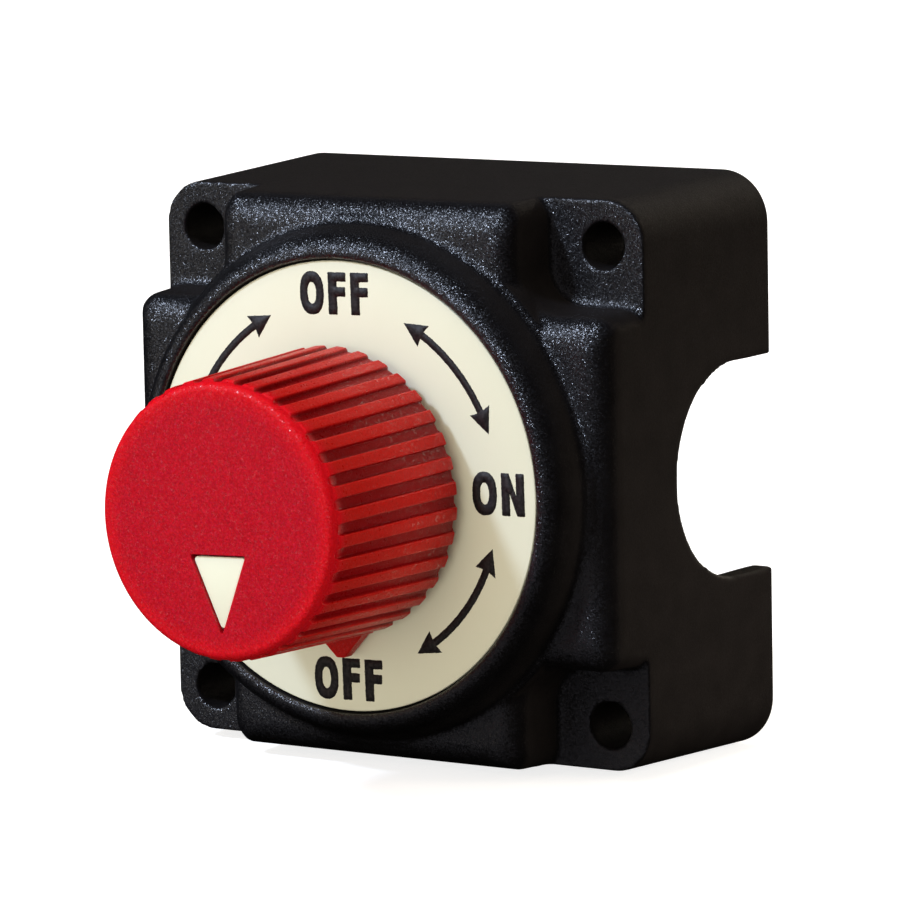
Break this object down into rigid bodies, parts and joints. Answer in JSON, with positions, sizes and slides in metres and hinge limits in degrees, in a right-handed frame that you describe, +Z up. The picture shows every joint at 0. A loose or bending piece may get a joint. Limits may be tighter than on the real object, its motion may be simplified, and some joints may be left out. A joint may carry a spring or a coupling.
{
  "type": "rotary battery switch",
  "caption": "Square panel-mounted rotary battery switch with a ribbed pointer knob, round dial, raised bezel, side cable entries and rear terminal studs.",
  "frame": {"origin": "point where the spindle's axis meets the plane of the housing's back rim", "axes": "+Y into the panel, so the knob stands out along -Y; +Z up, with the dial's lettering upright; +X to the right seen from the front"},
  "size_m": [0.069, 0.0655, 0.069],
  "materials": {
    "housing_black": "fine-grained moulded glass-filled nylon, slight sheen",
    "knob_red": "moulded, satin",
    "dial_cream": "printed luminous sheet, smooth",
    "insert_cream": "luminous, smooth",
    "spindle_black": "moulded",
    "rotor_white": "natural nylon",
    "washer_white": "natural nylon",
    "seal_rubber": "nitrile rubber",
    "bridge_copper": "bright copper",
    "tip_silver": "silver-faced contact",
    "stud_tinned": "tinned",
    "spring_steel": "stainless spring steel",
    "hardware_steel": "stainless steel",
    "plate_black": "moulded"
  },
  "bodies": {
    "base": {"housing": "housing_black", "dial_plate": "dial_cream", "thrust_washer": "washer_white", "detent_spring_upper": "spring_steel", "detent_spring_lower": "spring_steel", "base_plate": "plate_black", "base_gasket": "seal_rubber", "base_screw_1": "hardware_steel", "base_screw_2": "hardware_steel", "base_screw_3": "hardware_steel", "base_screw_4": "hardware_steel", "terminal_stud_left": "stud_tinned", "terminal_stud_right": "stud_tinned", "stud_tip_left": "tip_silver", "stud_tip_right": "tip_silver", "flat_washer_left": "hardware_steel", "flat_washer_right": "hardware_steel", "spring_washer_left": "hardware_steel", "spring_washer_right": "hardware_steel", "terminal_nut_left": "hardware_steel", "terminal_nut_right": "hardware_steel"},
    "turning_set": {"knob": "knob_red", "pointer_insert": "insert_cream", "spindle": "spindle_black", "retaining_ring": "spring_steel", "shaft_seal": "seal_rubber", "rotor": "rotor_white", "contact_spring": "spring_steel"},
    "moving_contact": {"contact_bridge": "bridge_copper", "bridge_tip_upper": "tip_silver", "bridge_tip_lower": "tip_silver"}
  },
  "joints": [
    {"name": "knob_turn", "type": "hinge", "parent": "base", "child": "turning_set", "pos_m": [0, -0.0405, 0], "axis": [0, -1, 0], "continuous": true, "deforming": ["detent_spring_upper", "detent_spring_lower"]},
    {"name": "contact_float", "type": "slide", "parent": "turning_set", "child": "moving_contact", "axis": [0, -1, 0], "range_m": [0, 0.0006], "stiffness_N_per_m": 2000, "springref_m": -0.002, "deforming": ["contact_spring"]}
  ]
}
